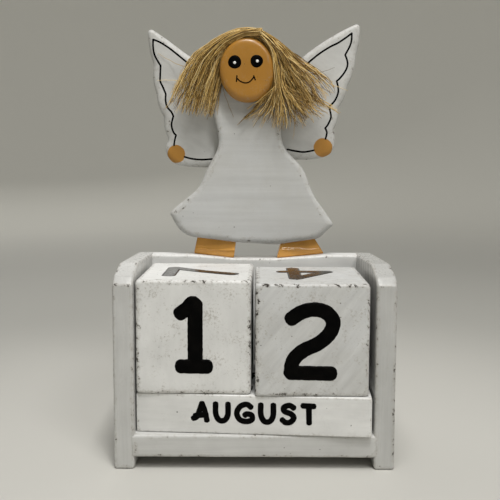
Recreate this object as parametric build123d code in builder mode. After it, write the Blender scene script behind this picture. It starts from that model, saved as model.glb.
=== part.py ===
"""Wooden perpetual calendar: an open tray with two day cubes, three month bars and an angel figure.

Frame: X to the right, Y to the back, Z up, in millimetres. The origin is on the table, at the
middle of the tray's footprint.
"""
import os
from math import cos, pi, radians, sin, tan

from build123d import *

# Day cubes and month bars
CUBE_SIDE = 45.0
LEFT_CUBE_EXTRA = 1.0
CUBE_EDGE_RADIUS = 1.2
BAR_SECTION = 16.0
BAR_EDGE_RADIUS = 0.9

# Play of the loose pieces in the tray
CUBE_PLAY = 5.4
BAR_PLAY = 1.4
BAR_ROOM = 9.1
BAR_GAP = 0.3

# How the loose pieces were last put down
LEFT_CUBE_WALL_GAP = 0.9
LEFT_CUBE_SETBACK = 2.0
LEFT_CUBE_TURN = -1.25
RIGHT_CUBE_WALL_GAP = 2.4
RIGHT_CUBE_SETBACK = -0.4
FRONT_BAR_PROUD = 2.1
FRONT_BAR_TURN = -3.6
MIDDLE_BAR_TURN = -1.5
REAR_BAR_TURN = -0.4

# Tray boards
PANEL_THICK = 8.2
BACK_THICK = 10.4
SHELF_THICK = 9.2
TABLE_GAP = 4.8
RIM_ABOVE_CUBES = 3.4
CREST_RISE = 2.3
CREST_SETBACK = 16.5
BROW_DROP = 3.3
BROW_SETBACK = 3.5
NOSE_DROP = 3.1
EDGE_EASE = 0.8

# Nails, headless and driven under the paint
BRAD_DIAMETER = 1.5
BRAD_LENGTH = 22.0
BRAD_SINK = 0.8
BRAD_INSET = 14.0
BRAD_CLEARANCE = 0.05

# Boards of the figure
DRESS_THICK = 7.5
DRESS_OVERHANG = 0.6
DRESS_ROUND = 1.1
SHOULDER_ROUND = 3.0
WING_THICK = 5.5
WING_ROUND = 1.3
CORNER_LAND = 0.4
FEATHER_BULGE = 0.85
NOTCH_ROUND = 1.5
HEAD_THICK = 7.5
HEAD_WIDTH = 24.9
HEAD_HEIGHT = 28.9
HEAD_X = -3.5
HEAD_ABOVE_RIM = 84.5
HEAD_FRONT_ROUND = 2.4
HEAD_BACK_ROUND = 0.8

# Feet of the figure, in their seats on the back panel's top edge
SEAT_DIP = 1.6
LEFT_FOOT_OUTER = -28.7
LEFT_FOOT_INNER = -9.7
RIGHT_FOOT_OUTER = 33.0
RIGHT_FOOT_INNER = 10.5
FOOT_TURN = 12.0
FOOT_SETBACK = 1.0
FOOT_RIDGE_DROP = 3.8
FOOT_RIDGE_LEAN = 0.9
FOOT_EASE = 0.5
DOWEL_DIAMETER = 2.2
DOWEL_DEPTH = 9.0
DOWEL_WALL = 0.5
DOWEL_FROM_HEEL = 3.2
DOWEL_CLEARANCE = 0.05

# Hair of the figure
HAIR_DEPTH = 7.0
HAIR_GAP = 0.4
HAIR_FLUTES = 6
FLUTE_BULGE = 0.22

# Places that follow from the sizes above
INNER_WIDTH = 2 * CUBE_SIDE + CUBE_PLAY
BAR_LENGTH = INNER_WIDTH - BAR_PLAY
TRAY_DEPTH = 3 * BAR_SECTION + BAR_ROOM + BACK_THICK
FRONT_Y = -TRAY_DEPTH / 2
REAR_Y = TRAY_DEPTH / 2
BACK_FRONT_Y = REAR_Y - BACK_THICK
SHELF_TOP = TABLE_GAP + SHELF_THICK
BAR_TOP = SHELF_TOP + BAR_SECTION
RIM = BAR_TOP + CUBE_SIDE + RIM_ABOVE_CUBES
SEAT_FLOOR = RIM - SEAT_DIP
DRESS_FRONT_Y = BACK_FRONT_Y - DRESS_OVERHANG
DRESS_BACK_Y = DRESS_FRONT_Y + DRESS_THICK
HEAD_Z = RIM + HEAD_ABOVE_RIM

# Where the nails and dowels go
BRAD_HOLE = BRAD_DIAMETER / 2 + BRAD_CLEARANCE
BRAD_OUTER_X = INNER_WIDTH / 2 + PANEL_THICK - BRAD_SINK
SHELF_BRAD_Z = TABLE_GAP + SHELF_THICK / 2
BACK_BRAD_Y = REAR_Y - BACK_THICK / 2
SHELF_END_BRADS = [(y, SHELF_BRAD_Z) for y in (FRONT_Y + BRAD_INSET, BACK_FRONT_Y - BRAD_INSET)]
BACK_END_BRADS = [(BACK_BRAD_Y, z) for z in (SHELF_TOP + BRAD_INSET, RIM - BRAD_INSET)]
SHELF_REAR_BRADS = [(x * (INNER_WIDTH / 2 - 2 * BRAD_INSET), SHELF_BRAD_Z) for x in (-1, 0, 1)]
DOWEL_HOLE = DOWEL_DIAMETER / 2 + DOWEL_CLEARANCE
HEEL_Y = BACK_FRONT_Y + FOOT_SETBACK
DOWEL_FRONT_Y = HEEL_Y + FOOT_RIDGE_LEAN + DOWEL_FROM_HEEL * tan(radians(FOOT_TURN)) + DOWEL_WALL
DOWEL_Y = DOWEL_FRONT_Y + DOWEL_DIAMETER / 2
LEFT_DOWEL_X = LEFT_FOOT_INNER - DOWEL_FROM_HEEL
RIGHT_DOWEL_X = RIGHT_FOOT_INNER + DOWEL_FROM_HEEL


def upright(y):
    """An upright plane at depth y: its own x is X, its own y is Z, and it faces the viewer."""
    return Plane.XZ.offset(-y)


def across(x):
    """An upright plane across the tray at x: its own x is Y, its own y is Z."""
    return Plane.YZ.offset(x)


def raised(points):
    """Points of the figure, measured up from the tray's rim, at their height over the table."""
    return [(x, RIM + z) for x, z in points]


def height_on(line, x):
    """Height at x of a straight line given by two points."""
    (x0, z0), (x1, z1) = line
    return z0 + (z1 - z0) * (x - x0) / (x1 - x0)


def board_round(radius, thick):
    """Rounding of a board's edges, which leaves a narrow land between its two faces."""
    return min(radius, thick / 2 - CORNER_LAND)


# Side panels: the front corner is sawn off in two steps, and the top falls a little to the back
def side_panel(side):
    inner_face = across(side * INNER_WIDTH / 2)
    crest = RIM + CREST_RISE
    brow = crest - BROW_DROP
    with BuildPart() as panel:
        with BuildSketch(inner_face):
            with BuildLine():
                Polyline(
                    (FRONT_Y, 0),
                    (REAR_Y, 0),
                    (REAR_Y, RIM),
                    (FRONT_Y + CREST_SETBACK, crest),
                    (FRONT_Y + BROW_SETBACK, brow),
                    (FRONT_Y, brow - NOSE_DROP),
                    close=True,
                )
            make_face()
        extrude(amount=side * PANEL_THICK)
        fillet(panel.edges(), EDGE_EASE)
        with BuildSketch(inner_face):
            with Locations(*SHELF_END_BRADS, *BACK_END_BRADS):
                Circle(BRAD_HOLE)
        extrude(amount=side * (PANEL_THICK - BRAD_SINK), mode=Mode.SUBTRACT)
    return panel.part


left_side_panel = side_panel(-1)
right_side_panel = side_panel(1)

# Shelf: between the sides, flush with their front edges, raised off the table
with BuildPart() as shelf:
    with BuildSketch(Plane.XY.offset(TABLE_GAP)):
        with Locations((0, (FRONT_Y + BACK_FRONT_Y) / 2)):
            Rectangle(INNER_WIDTH, BACK_FRONT_Y - FRONT_Y)
    extrude(amount=SHELF_THICK)
    fillet(shelf.faces().sort_by(Axis.Y)[0].edges().filter_by(Axis.X), EDGE_EASE)
    for side in (-1, 1):
        with BuildSketch(across(side * INNER_WIDTH / 2)):
            with Locations(*SHELF_END_BRADS):
                Circle(BRAD_HOLE)
        extrude(amount=-side * (BRAD_LENGTH + BRAD_SINK - PANEL_THICK), mode=Mode.SUBTRACT)
    with BuildSketch(upright(BACK_FRONT_Y)):
        with Locations(*SHELF_REAR_BRADS):
            Circle(BRAD_HOLE)
    extrude(amount=BRAD_LENGTH + BRAD_SINK - BACK_THICK, mode=Mode.SUBTRACT)

# Back panel: behind the shelf and between the sides, with a dip in its top edge for the feet
with BuildPart() as back_panel:
    with BuildSketch(upright(BACK_FRONT_Y)):
        with BuildLine():
            Polyline(
                (-INNER_WIDTH / 2, TABLE_GAP),
                (INNER_WIDTH / 2, TABLE_GAP),
                (INNER_WIDTH / 2, RIM),
                (RIGHT_FOOT_OUTER, RIM),
                (RIGHT_FOOT_INNER, SEAT_FLOOR),
                (LEFT_FOOT_INNER, SEAT_FLOOR),
                (LEFT_FOOT_OUTER, RIM),
                (-INNER_WIDTH / 2, RIM),
                close=True,
            )
        make_face()
    extrude(amount=-BACK_THICK)
    for side in (-1, 1):
        with BuildSketch(across(side * INNER_WIDTH / 2)):
            with Locations(*BACK_END_BRADS):
                Circle(BRAD_HOLE)
        extrude(amount=-side * (BRAD_LENGTH + BRAD_SINK - PANEL_THICK), mode=Mode.SUBTRACT)
    with BuildSketch(upright(BACK_FRONT_Y)):
        with Locations(*SHELF_REAR_BRADS):
            Circle(BRAD_HOLE)
    extrude(amount=-(BACK_THICK - BRAD_SINK), mode=Mode.SUBTRACT)
    with BuildSketch(Plane.XY.offset(SEAT_FLOOR - DOWEL_DEPTH - DOWEL_CLEARANCE)):
        with Locations((LEFT_DOWEL_X, DOWEL_Y), (RIGHT_DOWEL_X, DOWEL_Y)):
            Circle(DOWEL_HOLE)
    extrude(amount=RIM - SEAT_FLOOR + DOWEL_DEPTH + DOWEL_CLEARANCE, mode=Mode.SUBTRACT)

# Nails through the sides into the shelf ends
with BuildPart() as shelf_brads:
    for side in (-1, 1):
        with BuildSketch(across(side * BRAD_OUTER_X)):
            with Locations(*SHELF_END_BRADS):
                Circle(BRAD_DIAMETER / 2)
        extrude(amount=-side * BRAD_LENGTH)

# Nails through the sides into the back panel, and through the back panel into the shelf
with BuildPart() as back_panel_brads:
    for side in (-1, 1):
        with BuildSketch(across(side * BRAD_OUTER_X)):
            with Locations(*BACK_END_BRADS):
                Circle(BRAD_DIAMETER / 2)
        extrude(amount=-side * BRAD_LENGTH)
    with BuildSketch(upright(REAR_Y - BRAD_SINK)):
        with Locations(*SHELF_REAR_BRADS):
            Circle(BRAD_DIAMETER / 2)
    extrude(amount=BRAD_LENGTH)

# Hem of the dress: two straight stretches rest on the feet
LEFT_HEM = raised([(-27.4, 8.1), (-7.0, 5.7)])
RIGHT_HEM = raised([(11.2, 4.9), (28.6, 7.5)])
LEFT_FOOT_TOP = [-27.0, -8.7]
RIGHT_FOOT_TOP = [28.3, 12.4]


# Feet: the front turns outwards from the heel at the middle, and a ridge runs across it
def foot(outer, inner, tops, hem, dowel_x):
    outer_top, inner_top = tops
    side = 1 if outer > inner else -1
    slope = side * tan(radians(FOOT_TURN))
    peak = height_on(hem, outer_top)
    ends = [side * f(side * inner, side * inner_top, side * outer) for f in (min, max)]
    with BuildPart() as block:
        with BuildSketch(upright(REAR_Y)):
            with BuildLine():
                Polyline(
                    (outer, RIM),
                    (outer_top, peak),
                    (inner_top, height_on(hem, inner_top)),
                    (inner, SEAT_FLOOR),
                    close=True,
                )
            make_face()
        extrude(amount=BACK_THICK)
        with BuildSketch(Plane.XY.offset(SEAT_FLOOR)):
            with BuildLine():
                Polyline(
                    *[(x, HEEL_Y + (x - inner) * slope) for x in ends],
                    *[(x, REAR_Y) for x in reversed(ends)],
                    close=True,
                )
            make_face()
        extrude(amount=peak - SEAT_FLOOR, mode=Mode.INTERSECT)
        front = block.faces().sort_by(Axis.Y)[0]
        instep = front.edges().sort_by(Axis.Z)[-1]
        chamfer(instep, FOOT_RIDGE_DROP, FOOT_RIDGE_LEAN, reference=front)
        ridge = block.faces().sort_by(Axis.Y)[0].edges().sort_by(Axis.Z)[-1]
        fillet(ridge, FOOT_EASE)
        with BuildSketch(Plane.XY.offset(SEAT_FLOOR)):
            with Locations((dowel_x, DOWEL_Y)):
                Circle(DOWEL_HOLE)
        extrude(amount=peak - SEAT_FLOOR, mode=Mode.SUBTRACT)
    return block.part


left_foot = foot(LEFT_FOOT_OUTER, LEFT_FOOT_INNER, LEFT_FOOT_TOP, LEFT_HEM, LEFT_DOWEL_X)
right_foot = foot(RIGHT_FOOT_OUTER, RIGHT_FOOT_INNER, RIGHT_FOOT_TOP, RIGHT_HEM, RIGHT_DOWEL_X)

# Dowels: from the back panel through the feet into the dress
DOWELS = [(LEFT_DOWEL_X, LEFT_HEM), (RIGHT_DOWEL_X, RIGHT_HEM)]
with BuildPart() as foot_dowels:
    for dowel_x, hem in DOWELS:
        with BuildSketch(Plane.XY.offset(SEAT_FLOOR - DOWEL_DEPTH)):
            with Locations((dowel_x, DOWEL_Y)):
                Circle(DOWEL_DIAMETER / 2)
        extrude(amount=height_on(hem, dowel_x) + DOWEL_DEPTH - (SEAT_FLOOR - DOWEL_DEPTH))

# Dress: sawn outline with a bell-shaped skirt and rounded edges
LEFT_SHOULDER, LEFT_CORNER = raised([(-18.3, 81.5), (-39.7, 19.4)])
RIGHT_SHOULDER, RIGHT_CORNER = raised([(11.0, 81.5), (37.0, 14.2)])
LEFT_SIDE = raised([(-19.3, 65.8), (-17.0, 50.7), (-22.7, 38.9), (-25.6, 32.3), (-31.2, 26.7)])
RIGHT_SIDE = raised([(31.7, 22.0), (27.4, 28.4), (21.4, 41.6), (14.4, 49.0), (12.4, 65.8)])
HEM_DIP, LEFT_SWING, RIGHT_SWING = raised([(2.5, 5.2), (-36.1, 13.0), (33.1, 10.6)])
LEFT_HEM_RUN = Vector(*LEFT_HEM[1]) - Vector(*LEFT_HEM[0])
RIGHT_HEM_RUN = Vector(*RIGHT_HEM[1]) - Vector(*RIGHT_HEM[0])
LEFT_CORNER_RUN = Vector(*LEFT_SWING) - Vector(*LEFT_CORNER)
RIGHT_CORNER_RUN = Vector(*RIGHT_CORNER) - Vector(*RIGHT_SWING)
DRESS_EDGE = board_round(DRESS_ROUND, DRESS_THICK)
with BuildPart() as dress_board:
    with BuildSketch(upright(DRESS_FRONT_Y)) as dress_outline:
        with BuildLine():
            Spline(LEFT_SHOULDER, *LEFT_SIDE, LEFT_CORNER)
            Spline(LEFT_CORNER, LEFT_SWING, LEFT_HEM[0], tangents=[LEFT_CORNER_RUN, LEFT_HEM_RUN])
            Line(*LEFT_HEM)
            Spline(LEFT_HEM[1], HEM_DIP, RIGHT_HEM[0], tangents=[LEFT_HEM_RUN, RIGHT_HEM_RUN])
            Line(*RIGHT_HEM)
            Spline(RIGHT_HEM[1], RIGHT_SWING, RIGHT_CORNER, tangents=[RIGHT_HEM_RUN, RIGHT_CORNER_RUN])
            Spline(RIGHT_CORNER, *RIGHT_SIDE, RIGHT_SHOULDER)
            Line(RIGHT_SHOULDER, LEFT_SHOULDER)
        make_face()
        corners = dress_outline.vertices()
        fillet(corners.sort_by(Axis.Y)[-2:], SHOULDER_ROUND)
        corners = dress_outline.vertices().sort_by(Axis.X)
        fillet([corners[0], corners[-1]], DRESS_EDGE + CORNER_LAND)
    extrude(amount=-DRESS_THICK)
    fillet(dress_board.faces().filter_by(Axis.Y).edges(), DRESS_EDGE)
    for dowel_x, hem in DOWELS:
        with BuildSketch(Plane.XY.offset(RIM)):
            with Locations((dowel_x, DOWEL_Y)):
                Circle(DOWEL_HOLE)
        extrude(amount=height_on(hem, dowel_x) + DOWEL_DEPTH + DOWEL_CLEARANCE - RIM, mode=Mode.SUBTRACT)

# Wings: one board behind the dress, with feathers sawn along the outer edges, sleeves and hands
LEFT_TIP, RIGHT_TIP, NECK = raised([(-50.1, 105.9), (48.6, 108.1), (-3.0, 74.9)])
LEFT_NOTCHES = raised([(-47.5, 88.5), (-46.2, 74.9), (-42.9, 64.2), (-40.5, 53.5)])
RIGHT_NOTCHES = raised([(37.1, 58.5), (39.1, 68.7), (43.3, 78.7), (47.1, 92.3)])
LEFT_SLEEVE = raised([(-42.0, 47.9), (-38.2, 42.5), (-33.0, 41.1), (-21.0, 40.5)])
RIGHT_SLEEVE = raised([(19.0, 44.3), (31.0, 45.1), (35.9, 47.5), (37.9, 52.9)])
LEFT_TOP = raised([(-14.0, 82.4), (-31.4, 93.1), (-40.6, 99.8)])
RIGHT_TOP = raised([(38.8, 103.3), (31.1, 98.7), (21.8, 91.7), (9.0, 78.9)])
LEFT_FEATHERS = zip([LEFT_TIP, *LEFT_NOTCHES], LEFT_NOTCHES)
RIGHT_FEATHERS = zip(RIGHT_NOTCHES, [*RIGHT_NOTCHES[1:], RIGHT_TIP])
WING_EDGE = board_round(WING_ROUND, WING_THICK)
with BuildPart() as wing_board:
    with BuildSketch(upright(DRESS_BACK_Y)) as wing_outline:
        with BuildLine():
            for start, end in [*LEFT_FEATHERS, *RIGHT_FEATHERS]:
                SagittaArc(start, end, -FEATHER_BULGE)
            Spline(LEFT_NOTCHES[-1], *LEFT_SLEEVE, *RIGHT_SLEEVE, RIGHT_NOTCHES[0])
            Spline(RIGHT_TIP, *RIGHT_TOP, NECK, *LEFT_TOP, LEFT_TIP)
        make_face()
        fillet(wing_outline.vertices().sort_by(Axis.Y)[:-2], NOTCH_ROUND)
        fillet(wing_outline.vertices().sort_by(Axis.Y)[-2:], WING_EDGE + CORNER_LAND)
    extrude(amount=-WING_THICK)
    fillet(wing_board.faces().filter_by(Axis.Y).edges(), WING_EDGE)

# Head: an oval disc on the front of the dress
with BuildPart() as head_disc:
    with BuildSketch(upright(DRESS_FRONT_Y)):
        with Locations((HEAD_X, HEAD_Z)):
            Ellipse(HEAD_WIDTH / 2, HEAD_HEIGHT / 2)
    extrude(amount=HEAD_THICK)
    rims = head_disc.edges().sort_by(Axis.Y)
    fillet(rims[0], HEAD_FRONT_ROUND)
    fillet(head_disc.edges().sort_by(Axis.Y)[-1], HEAD_BACK_ROUND)


# Hair: each lock runs from the parting round the head and spreads towards its tips
def beside_head(angle, gap):
    """A point outside the head's rim, by its angle from the top and its distance from the rim."""
    turn = radians(angle)
    reach = HEAD_WIDTH / 2 + gap
    rise = HEAD_HEIGHT / 2 + gap
    return Vector(HEAD_X + reach * sin(turn), DRESS_FRONT_Y - HAIR_GAP, HEAD_Z + rise * cos(turn))


def hair_lock(sections):
    """A loft from the parting to the tips, with a front that is fluted where the strands part."""
    with BuildPart() as lock:
        for inner, outer in sections:
            root = beside_head(*inner)
            spread = beside_head(*outer) - root
            width = spread.length
            steps = [i / HAIR_FLUTES for i in range(HAIR_FLUTES + 1)]
            crests = [(width * t, HAIR_DEPTH * (0.5 + 0.5 * sin(pi * t))) for t in steps]
            with BuildSketch(Plane(root, x_dir=spread, z_dir=spread.cross(Vector(0, -1, 0)))):
                with BuildLine():
                    Line((width, 0), (0, 0))
                    Line((0, 0), crests[0])
                    for start, end in zip(crests, crests[1:]):
                        SagittaArc(start, end, FLUTE_BULGE * width / HAIR_FLUTES)
                    Line(crests[-1], (width, 0))
                make_face()
        loft()
    return lock.part


LEFT_LOCK = [
    [(25, HAIR_GAP), (20, 4.6)],
    [(-13, HAIR_GAP), (-13, 3.5)],
    [(-45, 1.0), (-46, 5.2)],
    [(-74, 1.0), (-74, 11.2)],
    [(-106, 2.2), (-90, 14.2)],
    [(-123, 6.4), (-105, 18.3)],
    [(-136, 12.6), (-113, 23.5)],
]
RIGHT_LOCK = [
    [(28, HAIR_GAP), (22, 4.6)],
    [(45, HAIR_GAP), (44, 4.4)],
    [(81, 0.8), (72, 7.6)],
    [(112, 1.6), (89, 15.5)],
    [(146, 3.5), (99, 25.1)],
    [(164, 9.2), (115, 29.6)],
]
left_hair_lock = hair_lock(LEFT_LOCK)
right_hair_lock = hair_lock(RIGHT_LOCK)


# Day cubes: they stand on the month bars, and the left one was sawn a little larger
def day_cube(edge, side, wall_gap, setback, turn):
    x = side * (INNER_WIDTH / 2 - wall_gap - edge / 2)
    place = Location((x, FRONT_Y + setback + edge / 2, BAR_TOP + edge / 2), (0, 0, turn))
    with BuildPart() as cube:
        with Locations(place):
            Box(edge, edge, edge)
        fillet(cube.edges(), CUBE_EDGE_RADIUS)
    return cube.part


LEFT_CUBE_SIDE = CUBE_SIDE + LEFT_CUBE_EXTRA
left_day_cube = day_cube(LEFT_CUBE_SIDE, -1, LEFT_CUBE_WALL_GAP, LEFT_CUBE_SETBACK, LEFT_CUBE_TURN)
right_day_cube = day_cube(CUBE_SIDE, 1, RIGHT_CUBE_WALL_GAP, RIGHT_CUBE_SETBACK, 0)


# Month bars: they lie on the shelf one behind another, each turned a little less than the last
def bar_swing(turn):
    """How far a turned bar's left end lies behind its middle."""
    return BAR_LENGTH / 2 * sin(radians(-turn))


def bar_half_depth(turn):
    """Half the depth of a turned bar, measured at one of its ends."""
    return BAR_SECTION / 2 * cos(radians(turn))


def month_bar(y, turn):
    with BuildPart() as bar:
        with Locations(Location((0, y, SHELF_TOP + BAR_SECTION / 2), (0, 0, turn))):
            Box(BAR_LENGTH, BAR_SECTION, BAR_SECTION)
        fillet(bar.edges(), BAR_EDGE_RADIUS)
    return bar.part


def next_bar_y(y, turn, next_turn):
    """Depth of the bar behind: its left end clears the left end of the bar in front."""
    left_back = y + bar_swing(turn) + bar_half_depth(turn)
    return left_back + BAR_GAP - bar_swing(next_turn) + bar_half_depth(next_turn)


FRONT_BAR_Y = FRONT_Y - FRONT_BAR_PROUD + bar_swing(FRONT_BAR_TURN) + bar_half_depth(FRONT_BAR_TURN)
MIDDLE_BAR_Y = next_bar_y(FRONT_BAR_Y, FRONT_BAR_TURN, MIDDLE_BAR_TURN)
REAR_BAR_Y = next_bar_y(MIDDLE_BAR_Y, MIDDLE_BAR_TURN, REAR_BAR_TURN)
front_month_bar = month_bar(FRONT_BAR_Y, FRONT_BAR_TURN)
middle_month_bar = month_bar(MIDDLE_BAR_Y, MIDDLE_BAR_TURN)
rear_month_bar = month_bar(REAR_BAR_Y, REAR_BAR_TURN)

# Write every piece under its own name
pieces = {
    "left_side_panel": left_side_panel,
    "right_side_panel": right_side_panel,
    "shelf": shelf.part,
    "back_panel": back_panel.part,
    "shelf_brads": shelf_brads.part,
    "back_panel_brads": back_panel_brads.part,
    "left_foot": left_foot,
    "right_foot": right_foot,
    "foot_dowels": foot_dowels.part,
    "dress_board": dress_board.part,
    "wing_board": wing_board.part,
    "head_disc": head_disc.part,
    "left_hair_lock": left_hair_lock,
    "right_hair_lock": right_hair_lock,
    "left_day_cube": left_day_cube,
    "right_day_cube": right_day_cube,
    "front_month_bar": front_month_bar,
    "middle_month_bar": middle_month_bar,
    "rear_month_bar": rear_month_bar,
}
os.makedirs("parts", exist_ok=True)
for name, piece in pieces.items():
    piece.label = name
    export_step(piece, f"parts/{name}.step")
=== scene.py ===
# %% [markdown]
# A hand-made perpetual calendar: a white wooden tray holds two number cubes and three month bars,
# and a flat sawn angel with plant-fibre hair stands on its back edge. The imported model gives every
# board, cube and bar its place. This lesson gives them softened edges, hand-brushed paint, painted
# numbers and a head of hair, without moving anything.

# %% Load the frame
import random
from math import atan2, cos, pi, radians, sin

import bmesh
import bpy
import numpy as np
from mathutils import Matrix, Vector, geometry, noise
from mathutils.bvhtree import BVHTree


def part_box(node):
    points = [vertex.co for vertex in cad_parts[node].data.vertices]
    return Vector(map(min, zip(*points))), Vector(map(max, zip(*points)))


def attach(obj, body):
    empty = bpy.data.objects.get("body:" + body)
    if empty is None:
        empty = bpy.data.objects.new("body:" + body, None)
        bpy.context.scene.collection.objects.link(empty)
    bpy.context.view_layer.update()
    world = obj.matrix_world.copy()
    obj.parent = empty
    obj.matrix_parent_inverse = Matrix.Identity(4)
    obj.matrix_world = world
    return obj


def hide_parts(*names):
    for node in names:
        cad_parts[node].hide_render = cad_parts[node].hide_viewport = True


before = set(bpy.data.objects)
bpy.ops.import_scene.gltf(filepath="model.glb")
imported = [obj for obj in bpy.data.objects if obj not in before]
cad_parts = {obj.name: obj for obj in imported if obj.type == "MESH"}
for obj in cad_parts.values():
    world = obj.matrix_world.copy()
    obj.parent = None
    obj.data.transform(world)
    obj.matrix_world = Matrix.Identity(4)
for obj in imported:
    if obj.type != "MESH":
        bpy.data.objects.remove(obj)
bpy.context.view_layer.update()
MM = 0.001
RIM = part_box("back_panel")[1].z
print("loaded", len(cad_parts), "nodes, rim at", round(RIM / MM, 1), "mm")

# %% [markdown]
# Node trees read better when each node is one line. These helpers add a node, link or set its
# inputs, and hand back the socket that the next node needs. Three more start an object, a material
# and a node group.


# %% Helpers for node trees, objects and materials
def add(tree, kind, inputs=None, **settings):
    made = tree.nodes.new(kind)
    for name, value in settings.items():
        setattr(made, name, value)
    for key, value in (inputs or {}).items():
        if isinstance(value, bpy.types.NodeSocket):
            tree.links.new(value, made.inputs[key])
        else:
            made.inputs[key].default_value = value
    return made


def calc(tree, operation, *values):
    return add(tree, "ShaderNodeMath", dict(enumerate(values)), operation=operation).outputs[0]


def remap(tree, value, low, high, to_low=0.0, to_high=1.0):
    inputs = {0: value, 1: low, 2: high, 3: to_low, 4: to_high}
    return add(tree, "ShaderNodeMapRange", inputs).outputs[0]


def blend(tree, factor, first, second):
    return add(tree, "ShaderNodeMix", {0: factor, 6: first, 7: second}, data_type="RGBA").outputs[2]


def cloud(tree, vector, scale, detail=3.0, roughness=0.55):
    inputs = {"Vector": vector, "Scale": scale, "Detail": detail, "Roughness": roughness}
    return add(tree, "ShaderNodeTexNoise", inputs).outputs[0]


def linked(name, data):
    """A new object of the scene, at the origin."""
    piece = bpy.data.objects.new(name, data)
    bpy.context.scene.collection.objects.link(piece)
    return piece


def new_material(name):
    """A node material, with its tree and its Principled shader."""
    material = bpy.data.materials.new(name)
    material.use_nodes = True
    return material, material.node_tree, material.node_tree.nodes["Principled BSDF"]


def new_group(name, kind, inputs, outputs):
    """A node group; inputs are (name, socket kind, default), outputs are (name, socket kind)."""
    tree = bpy.data.node_groups.new(name, kind)
    for label, socket, *default in inputs:
        made = tree.interface.new_socket(name=label, in_out="INPUT", socket_type=socket)
        if default:
            made.default_value = default[0]
    for label, socket in outputs:
        tree.interface.new_socket(name=label, in_out="OUTPUT", socket_type=socket)
    return tree, tree.nodes.new("NodeGroupInput").outputs, tree.nodes.new("NodeGroupOutput").inputs


# %% [markdown]
# The paint on this object is brushed on by hand and has been handled for years. One shader group
# holds what every painted board shares: slow clouds of thinner and thicker paint, streaks along the
# brush or the grain, pinholes and dark specks, and chips that break out along the edges, where the
# board's own "edge" attribute is high. Each paint then sets its own colour and amounts.

# %% Shader group for worn paint
paint_group, given, result = new_group(
    "worn_paint",
    "ShaderNodeTree",
    [
        ("Grain", "NodeSocketVector"),
        ("Paint", "NodeSocketColor", (0.8, 0.8, 0.8, 1)),
        ("Shade", "NodeSocketColor", (0.6, 0.6, 0.6, 1)),
        ("Bare", "NodeSocketColor", (0.06, 0.035, 0.02, 1)),
        ("Streaks", "NodeSocketFloat", 0.1),
        ("Specks", "NodeSocketFloat", 0.2),
        ("Scuffs", "NodeSocketFloat", 0.1),
        ("Chips", "NodeSocketFloat", 0.5),
        ("Gloss", "NodeSocketFloat", 0.4),
    ],
    [("Color", "NodeSocketColor"), ("Roughness", "NodeSocketFloat"), ("Height", "NodeSocketFloat")],
)
spot = add(paint_group, "ShaderNodeTexCoord").outputs["Object"]
edge = add(paint_group, "ShaderNodeAttribute", attribute_name="edge").outputs["Fac"]
patches = remap(paint_group, cloud(paint_group, spot, 70), 0.35, 0.65)
streak = cloud(paint_group, given["Grain"], 1.0, 4.0)
pores = cloud(paint_group, spot, 1300, 2.0)
chip_noise = cloud(paint_group, spot, 460, 6.0, 0.72)

# Specks sit in a share of the cells of a fine mosaic, and their outlines are ragged
cells = add(paint_group, "ShaderNodeTexVoronoi", {"Vector": spot, "Scale": 420})
ragged = calc(paint_group, "MULTIPLY_ADD", pores, 0.3, cells.outputs["Distance"])
dot = remap(paint_group, ragged, 0.2, 0.28, 1.0, 0.0)
draw = add(paint_group, "ShaderNodeSeparateColor", {0: cells.outputs["Color"]}).outputs[0]
chosen = calc(paint_group, "GREATER_THAN", given["Specks"], draw)
speck = calc(paint_group, "MULTIPLY", dot, chosen)

# Scuffs are a fine grey grit that gathers in patches
grit = cloud(paint_group, spot, 1000, 5.0, 0.75)
gather = cloud(paint_group, spot, 120, 2.0)
grit = remap(paint_group, calc(paint_group, "MULTIPLY_ADD", gather, 0.5, grit), 0.82, 0.95)
scuff = calc(paint_group, "MULTIPLY", grit, given["Scuffs"])

# Chips need a high edge value and a high noise value at once
exposure = calc(paint_group, "MULTIPLY_ADD", edge, 0.5, chip_noise)
ease = calc(paint_group, "MULTIPLY", given["Chips"], 0.22)
exposure = calc(paint_group, "ADD", exposure, ease)
chip = remap(paint_group, exposure, 1.2, 1.23)
rubbed = remap(paint_group, exposure, 1.04, 1.22, 0.0, 0.45)

colour = blend(paint_group, patches, given["Paint"], given["Shade"])
dim = calc(paint_group, "MULTIPLY", calc(paint_group, "SUBTRACT", streak, 0.5), given["Streaks"])
light = calc(paint_group, "SUBTRACT", 1.0, dim)
colour = add(paint_group, "ShaderNodeVectorMath", {0: colour, 3: light}, operation="SCALE").outputs[0]
colour = blend(paint_group, calc(paint_group, "MAXIMUM", rubbed, scuff), colour, (0.36, 0.33, 0.28, 1))
colour = blend(paint_group, calc(paint_group, "MULTIPLY", speck, 0.85), colour, given["Bare"])
colour = blend(paint_group, chip, colour, given["Bare"])
broken = calc(paint_group, "MAXIMUM", chip, speck)
paint_group.links.new(colour, result["Color"])
uneven = calc(paint_group, "MULTIPLY_ADD", streak, 0.22, given["Gloss"])
paint_group.links.new(calc(paint_group, "MULTIPLY_ADD", broken, 0.3, uneven), result["Roughness"])
relief = calc(paint_group, "MULTIPLY_ADD", pores, 0.3, streak)
paint_group.links.new(calc(paint_group, "SUBTRACT", relief, broken), result["Height"])
print("paint group has", len(paint_group.nodes), "nodes")

# %% [markdown]
# A painted material turns Object coordinates into the grain's direction with a Mapping node: a small
# scale along an axis draws the streaks out along it. The white is never pure: it leans to warm grey
# where it is thin, and the tan of head, hands and feet is a warm ochre.

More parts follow.
